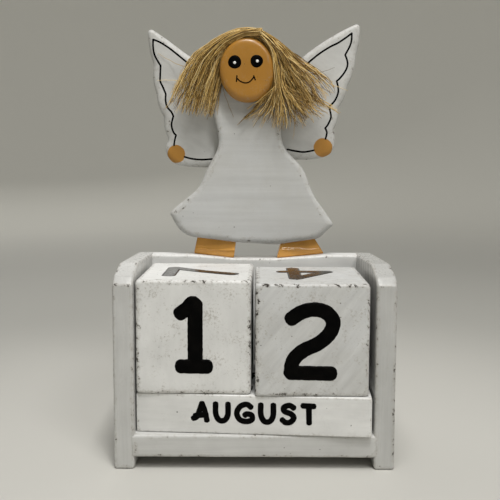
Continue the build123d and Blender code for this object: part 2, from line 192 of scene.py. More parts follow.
# %% Painted materials
CLEAN_WHITE = (0.8, 0.8, 0.785, 1)
WHITE = (0.72, 0.72, 0.705, 1)
AGED_WHITE = (0.59, 0.59, 0.575, 1)
SOFT_WHITE = (0.64, 0.645, 0.64, 1)
THIN_WHITE = (0.54, 0.54, 0.525, 1)
# A darker white for the right side panel alone: painted shade for the light that falls off towards the right.
RIGHT_PANEL_SHADE = (0.49, 0.49, 0.475, 1)
TAN = (0.42, 0.198, 0.029, 1)
THIN_TAN = (0.38, 0.176, 0.025, 1)
HAND_TAN = (0.46, 0.22, 0.038, 1)
LIGHT_TAN = (0.8, 0.4, 0.09, 1)
FOOT_TAN = (0.66, 0.33, 0.07, 1)
BARE_WOOD = (0.034, 0.026, 0.02, 1)


def painted(name, paint, shade, grain, turn=(0, 0, 0), bump=0.35, **amounts):
    """A material whose streaks have the given scale per metre along X, Y and Z."""
    material, tree, shader = new_material(name)
    spot = add(tree, "ShaderNodeTexCoord").outputs["Object"]
    turned = add(tree, "ShaderNodeMapping", {"Vector": spot, "Rotation": turn}).outputs[0]
    mapping = add(tree, "ShaderNodeMapping", {"Vector": turned, "Scale": grain})
    values = {"Grain": mapping.outputs[0], "Paint": paint, "Shade": shade, "Bare": BARE_WOOD, **amounts}
    layer = add(tree, "ShaderNodeGroup", node_tree=paint_group)
    for key, value in values.items():
        if key == "Grain":
            tree.links.new(value, layer.inputs[key])
        else:
            layer.inputs[key].default_value = value
    tree.links.new(layer.outputs["Color"], shader.inputs["Base Color"])
    tree.links.new(layer.outputs["Roughness"], shader.inputs["Roughness"])
    inputs = {"Strength": bump, "Distance": 0.12 * MM, "Height": layer.outputs["Height"]}
    tree.links.new(add(tree, "ShaderNodeBump", inputs).outputs[0], shader.inputs["Normal"])
    return material


CLEAN = {"paint": CLEAN_WHITE, "shade": WHITE}
AGED = {"paint": AGED_WHITE, "shade": THIN_WHITE}
SOFT = {"paint": SOFT_WHITE, "shade": AGED_WHITE}
DRESSED = {"paint": (0.57, 0.575, 0.57, 1), "shade": THIN_WHITE}
GLOSSY = {"Streaks": 0.16, "Chips": 0.0, "Specks": 0.03, "bump": 0.2}
panel_white = painted("white_panels", grain=(800, 800, 30), Streaks=0.3, Specks=0.06, Chips=0.45, Gloss=0.18,
                      bump=0.5, **AGED)
# The right side panel takes a darker copy of the panel paint: painted shade for the light that falls off
# towards the right.
right_panel_shaded_white = painted("white_right_panel_painted_shade", THIN_WHITE, RIGHT_PANEL_SHADE, (800, 800, 30), Streaks=0.3, Specks=0.08,
                     Chips=0.5, Gloss=0.18, bump=0.5)
shelf_white = painted("white_shelf", grain=(26, 600, 700), Streaks=0.4, Specks=0.06, Chips=0.35,
                      bump=0.5, **AGED)
left_cube_white = painted("white_left_cube", grain=(500, 500, 120), Streaks=0.16, Specks=0.2, Scuffs=0.6,
                          Chips=0.55, bump=0.5, **CLEAN)
right_cube_white = painted("white_right_cube", grain=(420, 420, 50), turn=(0, radians(-38), 0), Streaks=0.42,
                           Specks=0.15, Scuffs=0.6, Chips=0.6, bump=0.7, **SOFT)
back_white = painted("white_back", grain=(40, 500, 500), Streaks=0.25, Specks=0.06, Chips=0.3, **CLEAN)
bar_white = painted("white_bars", grain=(45, 500, 500), Streaks=0.2, Specks=0.08, Chips=0.35, **CLEAN)
dress_white = painted("white_dress", grain=(20, 60, 420), Streaks=0.3, Specks=0.05, Chips=0.3, **DRESSED)
wing_white = painted("white_wings", grain=(90, 90, 260), turn=(0, radians(-25), 0), Streaks=0.3,
                     Specks=0.03, Chips=0.3, **AGED)
head_tan = painted("tan_head", TAN, THIN_TAN, grain=(300, 300, 60), Gloss=0.2, **GLOSSY)
foot_tan = painted("tan_feet", LIGHT_TAN, FOOT_TAN, grain=(300, 300, 60), Gloss=0.05, **GLOSSY)
print("painted materials:", [m.name for m in bpy.data.materials if m.name.startswith(("white", "tan"))])

# %% [markdown]
# All the boards were sawn from flat stock and sanded, so one function makes them all. It takes the
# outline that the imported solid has, rolls its edge over by a radius that wanders a little, fills the
# faces with a fine mesh, and then presses the surface in by a tenth of a millimetre here and there,
# as a hand sander does. It also writes the "edge" attribute that tells the paint where it chips.


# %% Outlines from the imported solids
def cut_outline(node, axis, share):
    """The longest loop where a plane across an axis cuts a node, as points on the other two axes."""
    low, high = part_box(node)
    cut = bmesh.new()
    cut.from_mesh(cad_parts[node].data)
    bmesh.ops.remove_doubles(cut, verts=cut.verts, dist=0.001 * MM)
    across = Vector([float(i == axis) for i in range(3)])
    everything = cut.verts[:] + cut.edges[:] + cut.faces[:]
    bmesh.ops.bisect_plane(cut, geom=everything, plane_co=low.lerp(high, share), plane_no=across,
                           clear_inner=True, clear_outer=True)
    loops, seen = [], set()
    for start in cut.verts:
        loop, vert = [], start
        while vert and vert not in seen:
            seen.add(vert)
            loop.append([vert.co[i] for i in range(3) if i != axis])
            vert = next((e.other_vert(vert) for e in vert.link_edges if e.other_vert(vert) not in seen), None)
        loops.append(np.array(loop))
    cut.free()
    return max(loops, key=lambda loop: np.ptp(loop, axis=0).sum() if len(loop) else 0)


def even_points(loop, step):
    """A closed loop as evenly spaced points, anticlockwise."""
    ring = np.vstack([loop, loop[:1]])
    length = np.concatenate([[0], np.cumsum(np.linalg.norm(np.diff(ring, axis=0), axis=1))])
    at = np.linspace(0, length[-1], int(length[-1] / step), endpoint=False)
    even = np.column_stack([np.interp(at, length, ring[:, i]) for i in range(2)])
    ahead = np.roll(even, -1, axis=0)
    area = np.sum(even[:, 0] * ahead[:, 1] - ahead[:, 0] * even[:, 1])
    return even if area > 0 else even[::-1]


def rounded_rectangle(width, height, radius, turns=8):
    """Corner points of a rectangle about the origin whose corners are arcs."""
    points = []
    for corner, (x, y) in enumerate([(1, 1), (-1, 1), (-1, -1), (1, -1)]):
        for i in range(turns + 1):
            angle = (corner + i / turns) * pi / 2
            centre = x * (width / 2 - radius), y * (height / 2 - radius)
            points.append([centre[0] + radius * cos(angle), centre[1] + radius * sin(angle)])
    return np.array(points)


# %% A sawn and sanded board
def inside(points, ring):
    """Which points lie inside a closed ring."""
    x, y = points[:, :1], points[:, 1:]
    x0, y0 = ring.T
    x1, y1 = np.roll(ring, -1, axis=0).T
    spans = (y0 > y) != (y1 > y)
    crossing = x0 + (y - y0) * (x1 - x0) / np.where(y1 == y0, 1, y1 - y0)
    return (spans & (x < crossing)).sum(axis=1) % 2 == 1


def nearest(points, others):
    """Distance from each point to the nearest of the others."""
    return np.linalg.norm(points[:, None] - others[None], axis=2).min(axis=1)


def smoothed(values, times):
    """Values round a closed ring, each drawn towards its neighbours a number of times."""
    for _ in range(times):
        values = 0.5 * values + 0.25 * (np.roll(values, 1, axis=0) + np.roll(values, -1, axis=0))
    return values


def sharp_tips(ahead, window=5):
    """How far a ring turns back within a window: 0 up to a right angle, 1 for a half turn."""
    turn = (np.roll(ahead, window, axis=0) * np.roll(ahead, -window, axis=0)).sum(axis=1)
    back = np.maximum(-turn, 0)
    return smoothed(np.maximum.reduce([np.roll(back, k) for k in range(-window, window + 1)]), 12)


def face_fill(rim, grid):
    """Triangles that fill a ring on a grid, and each grid point's distance from the ring."""
    low, high = rim.min(axis=0), rim.max(axis=0)
    mesh_grid = np.meshgrid(*[np.arange(low[i] + grid / 2, high[i], grid) for i in range(2)])
    inner = np.column_stack([g.ravel() for g in mesh_grid])
    inner = inner[inside(inner, rim)]
    gap = nearest(inner, rim)
    inner, gap = inner[gap > 0.5 * grid], gap[gap > 0.5 * grid]
    loose = [Vector(p) for p in np.vstack([rim, inner])]
    bounds = [(i, (i + 1) % len(rim)) for i in range(len(rim))]
    fill = geometry.delaunay_2d_cdt(loose, bounds, [], 1, 1e-9)
    return fill[0], fill[2], fill[3], gap


CHIP_FADE = 0.7 * MM
ROLL_STEPS = 6
TIP_EASE = 0.8


def sawn_board(name, outline, near, far, roll, place, material, grid=2.2 * MM, wander=0.1 * MM):
    """A board from near to far; its edges roll over by (inset, depth), less at a sharp tip."""
    count = len(outline)
    ahead = np.roll(outline, -2, axis=0) - np.roll(outline, 2, axis=0)
    ahead /= np.linalg.norm(ahead, axis=1)[:, None]
    outward = np.column_stack([ahead[:, 1], -ahead[:, 0]])
    uneven = 1 + 0.25 * np.array([noise.noise(Vector((*p, near)) * 90) for p in outline])
    inset, sink = roll[0] * uneven * (1 - TIP_EASE * sharp_tips(ahead)), roll[1] * uneven
    bend = np.abs(np.cross(np.roll(ahead, 2, axis=0), np.roll(ahead, -2, axis=0)))
    corner = np.where(bend > 0.5)[0]
    apart = nearest(outline, outline[corner]) if len(corner) else np.full(count, 1.0)
    walls = max(2, int((far - near) / grid))

    rings, edges = [], []
    steps = [(i / ROLL_STEPS * pi / 2, 0) for i in range(ROLL_STEPS + 1)]
    steps += [(pi / 2, i / walls) for i in range(1, walls + 1)]
    steps += [(pi / 2 + i / ROLL_STEPS * pi / 2, 1) for i in range(1, ROLL_STEPS + 1)]
    for angle, share in steps:
        depth = near + sink * (1 - cos(min(angle, pi / 2)))
        depth = depth + share * (far - near - 2 * sink) + sink * sin(max(0, angle - pi / 2))
        flat = outline - outward * (inset * (1 - sin(angle)))[:, None]
        flat = smoothed(flat, round(10 * (1 - sin(angle))))
        rings.append(np.column_stack([flat, depth]))
        flank = np.maximum(np.minimum(depth - near, far - depth) - sink, 0)
        edges.append(np.maximum(np.exp(-(flank**2) / CHIP_FADE**2), np.exp(-(apart / CHIP_FADE) ** 2)))
    flat_points, fill_faces, origin, gap = face_fill(rings[0][:, :2], grid)

    verts = [p for ring in rings for p in ring]
    worn = [e for ring in edges for e in ring]
    faces = []
    for r in range(len(rings) - 1):
        for a in range(count):
            b = (a + 1) % count
            faces.append((r * count + a, r * count + b, (r + 1) * count + b, (r + 1) * count + a))
    for depth, first in ((near, 0), (far, (len(rings) - 1) * count)):
        index = {}
        for i, point in enumerate(flat_points):
            source = origin[i][0] if origin[i] else -1
            if 0 <= source < count:
                index[i] = first + source
            else:
                index[i] = len(verts)
                verts.append((*point, depth))
                worn.append(float(np.exp(-(gap[source - count] / CHIP_FADE) ** 2)) if source >= 0 else 0.0)
        faces += [tuple(index[i] for i in face) for face in fill_faces]
    board = solid(name, [place @ Vector(v) for v in verts], faces, material, worn)
    sand(board, wander)
    return board


def solid(name, verts, faces, material, worn=None):
    """A smooth mesh object with outward normals, at the origin."""
    mesh = bpy.data.meshes.new(name)
    mesh.from_pydata(verts, [], faces)
    if worn is not None:
        mesh.attributes.new("edge", "FLOAT", "POINT").data.foreach_set("value", worn)
    shell = bmesh.new()
    shell.from_mesh(mesh)
    bmesh.ops.recalc_face_normals(shell, faces=shell.faces)
    shell.to_mesh(mesh)
    shell.free()
    mesh.shade_smooth()
    mesh.materials.append(material)
    return linked(name, mesh)


def sand(piece, wander):
    """Presses the surface in by up to the given depth, in slow waves and finer ripples."""
    moved = []
    for vert in piece.data.vertices:
        wave = noise.noise(vert.co * 45) + 0.35 * noise.noise(vert.co * 190)
        depth = wander * min(1.0, max(0.0, 0.5 + 0.5 * wave))
        moved.append(vert.co - vert.normal * depth)
    for vert, co in zip(piece.data.vertices, moved):
        vert.co = co


def settle(piece, body, slot, *nodes):
    """Lets a piece ride on its body, in place of its solids. The slot is not used."""
    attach(piece, body)
    if nodes:
        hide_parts(*nodes)


# %% [markdown]
# Three placements turn an outline's own plane into the frame: boards that face the viewer, the two
# sides that run front to back, and the shelf that lies flat. The boards of the tray and of the
# figure come straight from cuts through their solids, so they are exactly where the solids are.

# %% Tray boards
FACING = Matrix(((1, 0, 0, 0), (0, 0, 1, 0), (0, 1, 0, 0), (0, 0, 0, 1)))
SIDEWAYS = Matrix(((0, 0, 1, 0), (1, 0, 0, 0), (0, 1, 0, 0), (0, 0, 0, 1)))
LEVEL = Matrix.Identity(4)


def board_from(node, axis, share, roll, place, material, step=0.8 * MM, wander=0.1 * MM, tuck=0.0):
    """A board from the cut through its solid; tuck runs its ends into the boards beside it."""
    low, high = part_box(node)
    outline = even_points(cut_outline(node, axis, share), step)
    ends = np.abs(outline[:, 0]) > high.x - 1.0 * MM
    outline[ends, 0] += tuck * np.sign(outline[ends, 0])
    return sawn_board(node + "_wood", outline, low[axis], high[axis], roll, place, material, wander=wander)


EASED = (1.1 * MM, 1.1 * MM)
# The right panel's darker paint is painted shade, not a different paint.
for node, paint in (("left_side_panel", panel_white), ("right_side_panel", right_panel_shaded_white)):
    settle(board_from(node, 0, 0.5, EASED, SIDEWAYS, paint, 0.6 * MM), "tray", "white_paint", node)
back = board_from("back_panel", 1, 0.12, EASED, FACING, back_white, tuck=1.2 * MM)
shelf = board_from("shelf", 2, 0.12, EASED, LEVEL, shelf_white, tuck=1.2 * MM)
settle(back, "tray", "white_paint", "back_panel")
settle(shelf, "tray", "white_paint", "shelf")
print("tray boards made")

# %% [markdown]
# The figure is three boards, one in front of the other: wings, dress and head. Their sawn edges are
# rounded over almost to the middle of the board, so they take a wider roll than the tray's boards,
# whose edges are only eased.

# %% Boards of the figure
dress = board_from("dress_board", 1, 0.3, (2.9 * MM, 2.2 * MM), FACING, dress_white)
wings = board_from("wing_board", 1, 0.5, (3.0 * MM, 2.1 * MM), FACING, wing_white)
head = board_from("head_disc", 1, 0.5, (2.6 * MM, 2.4 * MM), FACING, head_tan, wander=0.05 * MM)
settle(dress, "tray", "white_paint", "dress_board")
settle(wings, "tray", "white_paint", "wing_board")
settle(head, "tray", "tan_paint", "head_disc")
print("figure boards made:", [len(p.data.polygons) for p in (dress, wings, head)], "faces")

# %% [markdown]
# The cubes and bars were put down by hand, each turned a little. Their turn is read from the packed
# solid: the mean normal of its front faces. The block is then modelled square and placed with that
# turn, so numbers and months can be painted on square faces.


# %% Day cubes and month bars
def block_place(node):
    """Size of a block and the matrix that turns and moves it from the origin to its place."""
    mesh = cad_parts[node].data
    front = Vector()
    for face in mesh.polygons:
        if face.normal.y < -0.95:
            front += face.normal * face.area
    turn = Matrix.Rotation(atan2(front.x, -front.y), 4, "Z")
    low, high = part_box(node)
    middle = (low + high) / 2
    own = np.array([turn.inverted() @ (v.co - middle) for v in mesh.vertices])
    return np.ptp(own, axis=0), Matrix.Translation(middle) @ turn


def block(node, radius, material):
    """A cube or bar with rounded edges, its size and its place."""
    size, place = block_place(node)
    outline = even_points(rounded_rectangle(size[0], size[2], radius), 0.6 * MM)
    roll = (radius, radius)
    piece = sawn_board(node + "_wood", outline, -size[1] / 2, size[1] / 2, roll, place @ FACING, material)
    return piece, size, place


blocks = {}
for node, radius, material in (
    ("left_day_cube", 1.5 * MM, left_cube_white),
    ("right_day_cube", 1.2 * MM, right_cube_white),
    *((f"{row}_month_bar", 0.6 * MM, bar_white) for row in ("front", "middle", "rear")),
):
    blocks[node] = block(node, radius, material)
    body = node.replace("_day", "").replace("_month", "")
    settle(blocks[node][0], body, "white_paint", node)
print("blocks:", {name: [round(s / MM, 1) for s in size] for name, (_, size, _) in blocks.items()})

# %% [markdown]
# The feet are two small tan blocks with a soft ridge across the front, where the gloss paint catches
# the light. The solids are convex, so the hull of their points is the block without its dowel hole.
# Its edges are bevelled, its faces cut into a fine grid, and the front then falls back a little above
# and below the ridge. A thin bead of gathered paint runs along the ridge, uneven from end to end.

# %% Feet of the figure
FOOT_BEVEL = 0.8 * MM
FOOT_GRID = 0.7 * MM
FOOT_PILLOW = 0.1 * MM
FOOT_BEAD = {"height": 0.45 * MM, "width": 0.5 * MM}


def foot_block(node):
    """One foot, with its ridge and bead of paint on the front."""
    low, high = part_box(node)
    shell = bmesh.new()
    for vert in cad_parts[node].data.vertices:
        shell.verts.new(vert.co)
    bmesh.ops.convex_hull(shell, input=shell.verts)
    bmesh.ops.delete(shell, geom=[v for v in shell.verts if not v.link_faces], context="VERTS")
    bmesh.ops.dissolve_limit(shell, angle_limit=radians(3), verts=shell.verts, edges=shell.edges)
    sharp = [e for e in shell.edges if e.calc_face_angle(0) > radians(25)]
    bmesh.ops.bevel(shell, geom=sharp, offset=FOOT_BEVEL, segments=4, profile=0.5, affect="EDGES")
    for axis, grid in ((0, FOOT_GRID), (2, 0.4 * FOOT_GRID)):
        across = Vector([float(i == axis) for i in range(3)])
        for at in np.arange(low[axis] + grid, high[axis], grid):
            everything = shell.verts[:] + shell.edges[:] + shell.faces[:]
            bmesh.ops.bisect_plane(shell, geom=everything, plane_co=across * at, plane_no=across)
    shell.normal_update()
    ridge = low.z + 0.4 * (high.z - low.z)
    for vert in shell.verts:
        if vert.normal.y < -0.5:
            away = abs(vert.co.z - ridge) / (high.z - ridge)
            stray = noise.noise(Vector((vert.co.x * 160, 3.0, low.x * 50)))
            offset = (vert.co.z - ridge - FOOT_BEAD["width"] * stray) / FOOT_BEAD["width"]
            thick = 0.9 + 0.5 * noise.noise(Vector((vert.co.x * 420, 7.0, 0.0)))
            bead = thick * np.exp(-offset**2)
            vert.co.y += FOOT_PILLOW * min(1, away) ** 1.6 + FOOT_BEAD["height"] * (1 - min(1, bead))
    mesh = bpy.data.meshes.new(node + "_wood")
    shell.to_mesh(mesh)
    shell.free()
    mesh.shade_smooth()
    mesh.materials.append(foot_tan)
    return linked(node + "_wood", mesh)


for node in ("left_foot", "right_foot"):
    foot = foot_block(node)
    settle(foot, "tray", "tan_paint", node)
    print(foot.name, len(foot.data.polygons), "faces")

# %% [markdown]
# Every painted line on the object is a brush stroke: numbers, months, the outline on the wings and
# the smile. A geometry node tree sweeps a flat lens along a curve. Its width follows the curve's
# radius, closes to a half circle at both ends, as a round brush leaves it, and trembles a little. The
# hair's tree ends the same way, so the last nodes of both are one function.


# %% Brush stroke tree
def sweep_path(tree, path, section, scale, material, end):
    """Sweeps a section along a path into a smooth mesh of one material, and links it to the end."""
    inputs = {0: path.outputs[0], 1: section.outputs[0], "Scale": scale, "Fill Caps": True}
    swept = add(tree, "GeometryNodeCurveToMesh", inputs)
    real = add(tree, "GeometryNodeRealizeInstances", {0: swept.outputs[0]})
    coloured = add(tree, "GeometryNodeSetMaterial", {0: real.outputs[0], "Material": material})
    soft = add(tree, "GeometryNodeSetShadeSmooth", {0: coloured.outputs[0]})
    tree.links.new(soft.outputs[0], end)


stroke_tree, given, result = new_group(
    "brush_stroke",
    "GeometryNodeTree",
    [
        ("Curve", "NodeSocketGeometry"),
        ("Step", "NodeSocketFloat", 0.3 * MM),
        ("Flatness", "NodeSocketFloat", 0.02),
        ("Tremble", "NodeSocketFloat", 0.1),
        ("Material", "NodeSocketMaterial"),
    ],
    [("Mesh", "NodeSocketGeometry")],
)
smooth = add(stroke_tree, "GeometryNodeCurveSplineType", {0: given["Curve"]}, spline_type="CATMULL_ROM")
even = {0: smooth.outputs[0], "Length": given["Step"]}
even = add(stroke_tree, "GeometryNodeResampleCurve", even, mode="LENGTH")
along = add(stroke_tree, "GeometryNodeSplineParameter").outputs["Length"]
whole = add(stroke_tree, "GeometryNodeSplineLength").outputs["Length"]
from_end = calc(stroke_tree, "MINIMUM", along, calc(stroke_tree, "SUBTRACT", whole, along))
radius = add(stroke_tree, "GeometryNodeInputRadius").outputs[0]
short = calc(stroke_tree, "SUBTRACT", 1.0, calc(stroke_tree, "DIVIDE", from_end, radius))
short = calc(stroke_tree, "MAXIMUM", short, 0.0)
rounded = calc(stroke_tree, "SUBTRACT", 1.0, calc(stroke_tree, "POWER", short, 2.6))
rounded = calc(stroke_tree, "SQRT", calc(stroke_tree, "MAXIMUM", rounded, 0.0004))
spot = add(stroke_tree, "GeometryNodeInputPosition").outputs[0]
shake = calc(stroke_tree, "SUBTRACT", cloud(stroke_tree, spot, 650, 2.0), 0.5)
shake = calc(stroke_tree, "MULTIPLY_ADD", shake, given["Tremble"], 1.0)
width = calc(stroke_tree, "MULTIPLY", calc(stroke_tree, "MULTIPLY", radius, rounded), shake)
flat = add(stroke_tree, "GeometryNodeSetCurveNormal", {0: even.outputs[0]}, mode="Z_UP")
lens = add(stroke_tree, "GeometryNodeCurvePrimitiveCircle", {"Resolution": 8, "Radius": 1.0})
low_scale = add(stroke_tree, "ShaderNodeCombineXYZ", {0: 1.0, 1: given["Flatness"], 2: 1.0})
lens = add(stroke_tree, "GeometryNodeTransform", {0: lens.outputs[0], "Scale": low_scale.outputs[0]})
sweep_path(stroke_tree, flat, lens, width, given["Material"], result["Mesh"])
print("brush stroke tree has", len(stroke_tree.nodes), "nodes")


# %% [markdown]
# A stroke is drawn as a curve in its own plane, swept by the tree into a plain mesh and then laid down
# onto the board's real surface, so the paint follows every dent. A mask in the board's material could
# draw the same lines, but strokes keep the crisp edge and the thickness of brushed paint.


# %% Turning curves into meshes
def run_tree(tree, strands, **values):
    """Sweeps (points, radii) strands with a tree and returns the plain mesh."""
    curve = bpy.data.curves.new("strands", "CURVE")
    curve.dimensions = "3D"
    for points, radii in strands:
        spline = curve.splines.new("POLY")
        spline.points.add(len(points) - 1)
        for knot, point, width in zip(spline.points, points, radii):
            knot.co = (*point, 1.0)
            knot.radius = width
    host = linked("strands", curve)
    modifier = host.modifiers.new("sweep", "NODES")
    modifier.node_group = tree
    for item in tree.interface.items_tree:
        if item.in_out == "INPUT" and item.name in values:
            modifier[item.identifier] = values[item.name]
    mesh = bpy.data.meshes.new_from_object(host.evaluated_get(bpy.context.evaluated_depsgraph_get()))
    bpy.data.objects.remove(host)
    bpy.data.curves.remove(curve)
    return mesh


COAT = 0.03 * MM


def lay_on(mesh, board, centre, right, up):
    """Moves strokes from their own plane to a face of a board, and down onto its surface."""
    corners = [vert.co for vert in board.data.vertices]
    surface = BVHTree.FromPolygons(corners, [face.vertices for face in board.data.polygons])
    outward = right.cross(up)
    for vert in mesh.vertices:
        height = vert.co.z
        point = centre + right * vert.co.x + up * vert.co.y
        hit = surface.ray_cast(point + outward * 3 * MM, -outward, 9 * MM)[0]
        vert.co = (hit or point) + outward * (height + COAT)
    return mesh


def joined(name, meshes):
    """One object from several meshes."""
    whole = bmesh.new()
    materials = list(dict.fromkeys(mesh.materials[0] for mesh in meshes))
    for mesh in meshes:
        before = len(whole.faces)
        whole.from_mesh(mesh)
        for face in list(whole.faces)[before:]:
            face.material_index = materials.index(mesh.materials[0])
    bmesh.ops.recalc_face_normals(whole, faces=whole.faces)
    mesh = bpy.data.meshes.new(name)
    whole.to_mesh(mesh)
    whole.free()
    for material in materials:
        mesh.materials.append(material)
    return linked(name, mesh)


# %% [markdown]
# Black paint for numbers and lines: nearly black, a little glossy, thinner in places, so at a low
# angle it greys with the light it reflects.

# %% Black and white line paint
def line_paint(name, dark, thin, gloss, shine):
    material, tree, shader = new_material(name)
    spot = add(tree, "ShaderNodeTexCoord").outputs["Object"]
    shader.inputs["Specular IOR Level"].default_value = shine
    patches = remap(tree, cloud(tree, spot, 260, 4.0), 0.4, 0.75)
    tree.links.new(blend(tree, patches, dark, thin), shader.inputs["Base Color"])
    rough = remap(tree, cloud(tree, spot, 700), 0.3, 0.7, gloss, gloss + 0.2)
    tree.links.new(rough, shader.inputs["Roughness"])
    inputs = {"Strength": 0.25, "Distance": 0.05 * MM, "Height": cloud(tree, spot, 900)}
    tree.links.new(add(tree, "ShaderNodeBump", inputs).outputs[0], shader.inputs["Normal"])
    return material


black_paint = line_paint("black_paint", (0.0015, 0.0015, 0.0015, 1), (0.004, 0.0036, 0.0032, 1), 0.36, 0.03)
glossy_black = line_paint("glossy_black", (0.003, 0.002, 0.0015, 1), (0.012, 0.007, 0.004, 1), 0.12, 0.5)
glint_paint = line_paint("white_glint", (0.85, 0.85, 0.83, 1), (0.75, 0.75, 0.73, 1), 0.3, 0.5)

# %% [markdown]
# The numbers and month names are written with a round brush. A sign is a few strokes on a grid where
# its height is 1, so the same signs serve for the large numbers and for the small months.

# %% Signs
SIGNS = {
    "0": [[(0, 1), (0.27, 0.86), (0.35, 0.5), (0.27, 0.13), (0, 0), (-0.27, 0.13), (-0.35, 0.5),
           (-0.27, 0.86), (-0.02, 1), (0.1, 0.98)]],
    "1": [[(-0.22, 0.83), (-0.12, 0.9)], [(-0.12, 0.9), (0, 0.985), (0.01, 0.5), (0.01, 0.08)],
          [(0.02, 0.965), (0.02, 0.08)], [(-0.21, -0.01), (0.2, -0.01)]],
    "2": [[(-0.33, 0.85), (-0.17, 0.955), (0.02, 1), (0.21, 0.955), (0.32, 0.81), (0.27, 0.63), (0.1, 0.47),
           (-0.14, 0.35), (-0.29, 0.2), (-0.33, 0)], [(-0.33, 0), (0.3, -0.01)]],
    "3": [[(-0.3, 0.88), (-0.05, 1), (0.24, 0.9), (0.26, 0.68), (0, 0.54)],
          [(0, 0.54), (0.3, 0.42), (0.32, 0.16), (0.04, 0), (-0.3, 0.1)]],
    "4": [[(0.14, 1), (-0.42, 0.33)], [(-0.42, 0.33), (0.34, 0.33)], [(0.14, 1), (0.14, 0)]],
    "5": [[(0.3, 1), (-0.22, 1)], [(-0.22, 1), (-0.27, 0.56)],
          [(-0.27, 0.56), (0.05, 0.64), (0.32, 0.42), (0.24, 0.1), (-0.08, 0), (-0.32, 0.1)]],
    "6": [[(0.22, 0.98), (-0.12, 0.8), (-0.32, 0.4), (-0.2, 0.06), (0.1, 0), (0.32, 0.2), (0.24, 0.46),
           (0, 0.52), (-0.26, 0.34)]],
    "7": [[(-0.45, 0.98), (0.32, 0.98)], [(0.32, 0.98), (0.0, 0.5), (-0.28, -0.05)]],
    "8": [[(0, 0.54), (-0.26, 0.7), (-0.2, 0.94), (0.02, 1), (0.22, 0.92), (0.26, 0.72), (0, 0.54)],
          [(0, 0.54), (-0.32, 0.34), (-0.26, 0.08), (0, 0), (0.27, 0.08), (0.32, 0.34), (0, 0.54)]],
    "A": [[(-0.04, 0.1), (0.14, 0.24), (0.36, 1)], [(0.36, 1), (0.5, 0.5), (0.58, 0)],
          [(0.04, 0.26), (0.56, 0.34)]],
    "B": [[(0, 0), (0, 1)], [(0, 1), (0.36, 0.95), (0.42, 0.74), (0, 0.54)],
          [(0, 0.54), (0.42, 0.46), (0.48, 0.18), (0.3, 0.01), (0, 0)]],
    "C": [[(0.56, 0.84), (0.34, 1), (0.08, 0.82), (0, 0.48), (0.12, 0.12), (0.38, 0), (0.58, 0.16)]],
    "D": [[(0, 0), (0, 1)], [(0, 1), (0.36, 0.92), (0.54, 0.5), (0.36, 0.06), (0, 0)]],
    "E": [[(0, 0), (0, 1)], [(0, 1), (0.46, 1)], [(0, 0.52), (0.4, 0.52)], [(0, 0), (0.48, 0)]],
    "F": [[(0, 0), (0, 1)], [(0, 1), (0.48, 1)], [(0, 0.52), (0.4, 0.52)]],
    "G": [[(0.64, 0.84), (0.44, 1), (0.15, 0.86), (0, 0.48), (0.14, 0.1), (0.44, 0), (0.68, 0.12),
           (0.66, 0.38), (0.44, 0.44), (0.36, 0.36)]],
    "H": [[(0, 0), (0, 1)], [(0.52, 0), (0.52, 1)], [(0, 0.5), (0.52, 0.5)]],
    "I": [[(0, 0), (0, 1)]],
    "J": [[(0.42, 1), (0.42, 0.3), (0.28, 0.02), (0.06, 0.06), (0, 0.24)]],
    "L": [[(0, 1), (0, 0)], [(0, 0), (0.46, 0)]],
    "M": [[(0, 0), (0.06, 1)], [(0.06, 1), (0.34, 0.3)], [(0.34, 0.3), (0.62, 1)], [(0.62, 1), (0.68, 0)]],
    "N": [[(0, 0), (0, 1)], [(0, 1), (0.52, 0)], [(0.52, 0), (0.52, 1)]],
    "O": [[(0.3, 1), (0.06, 0.84), (0, 0.48), (0.12, 0.08), (0.36, 0), (0.6, 0.2), (0.62, 0.62), (0.46, 0.94),
           (0.24, 1)]],
    "P": [[(0, 0), (0, 1)], [(0, 1), (0.4, 0.96), (0.5, 0.74), (0.36, 0.5), (0, 0.46)]],
    "R": [[(0, 0), (0, 1)], [(0, 1), (0.38, 0.98), (0.5, 0.76), (0.36, 0.54), (0, 0.48)],
          [(0.18, 0.5), (0.52, 0)]],
    "S": [[(0.5, 0.86), (0.3, 1), (0.06, 0.88), (0.08, 0.66), (0.38, 0.5), (0.5, 0.28), (0.36, 0.04),
           (0.14, 0), (-0.02, 0.16)]],
    "T": [[(0, 1), (0.5, 0.98)], [(0.27, 1), (0.29, 0)]],
    "U": [[(0, 1), (0.01, 0.4), (0.16, 0.04), (0.4, 0.04), (0.55, 0.36), (0.56, 1)]],
    "V": [[(0, 1), (0.28, 0)], [(0.28, 0), (0.56, 1)]],
    "Y": [[(0, 1), (0.28, 0.52)], [(0.56, 1), (0.28, 0.52), (0.22, 0)]],
}


def brushed(points, radius):
    """A stroke whose round ends reach past its first and last point, as a brush does."""
    points = [Vector(p) for p in points]
    reach = 0.85 * radius
    before = points[0] + (points[0] - points[1]).normalized() * reach
    after = points[-1] + (points[-1] - points[-2]).normalized() * reach
    points = [before, *points, after]
    return points, [radius] * len(points)


def sign_strokes(text, height, stroke, stretch, gap):
    """Strokes of a word in its own plane, centred on the origin; sizes in metres."""
    strokes, pen = [], 0.0
    for letter in text:
        lines = SIGNS[letter]
        left = min(x for line in lines for x, _ in line)
        right = max(x for line in lines for x, _ in line)
        for line in lines:
            lift = 0.01 * MM * len(strokes)
            points = [((pen + (x - left) * stretch) * height, (y - 0.5) * height, lift) for x, y in line]
            strokes.append(points)
        pen += (right - left) * stretch + gap
    middle = (pen - gap) * height / 2
    return [brushed([(x - middle, y, z) for x, y, z in points], stroke / 2) for points in strokes]


# %% [markdown]
# Each cube shows one number per face, and between them the two cubes can show every day. Each bar has
# a month on each long side, and the words are turned so that rolling the bar towards the viewer brings
# up the next month the right way round.

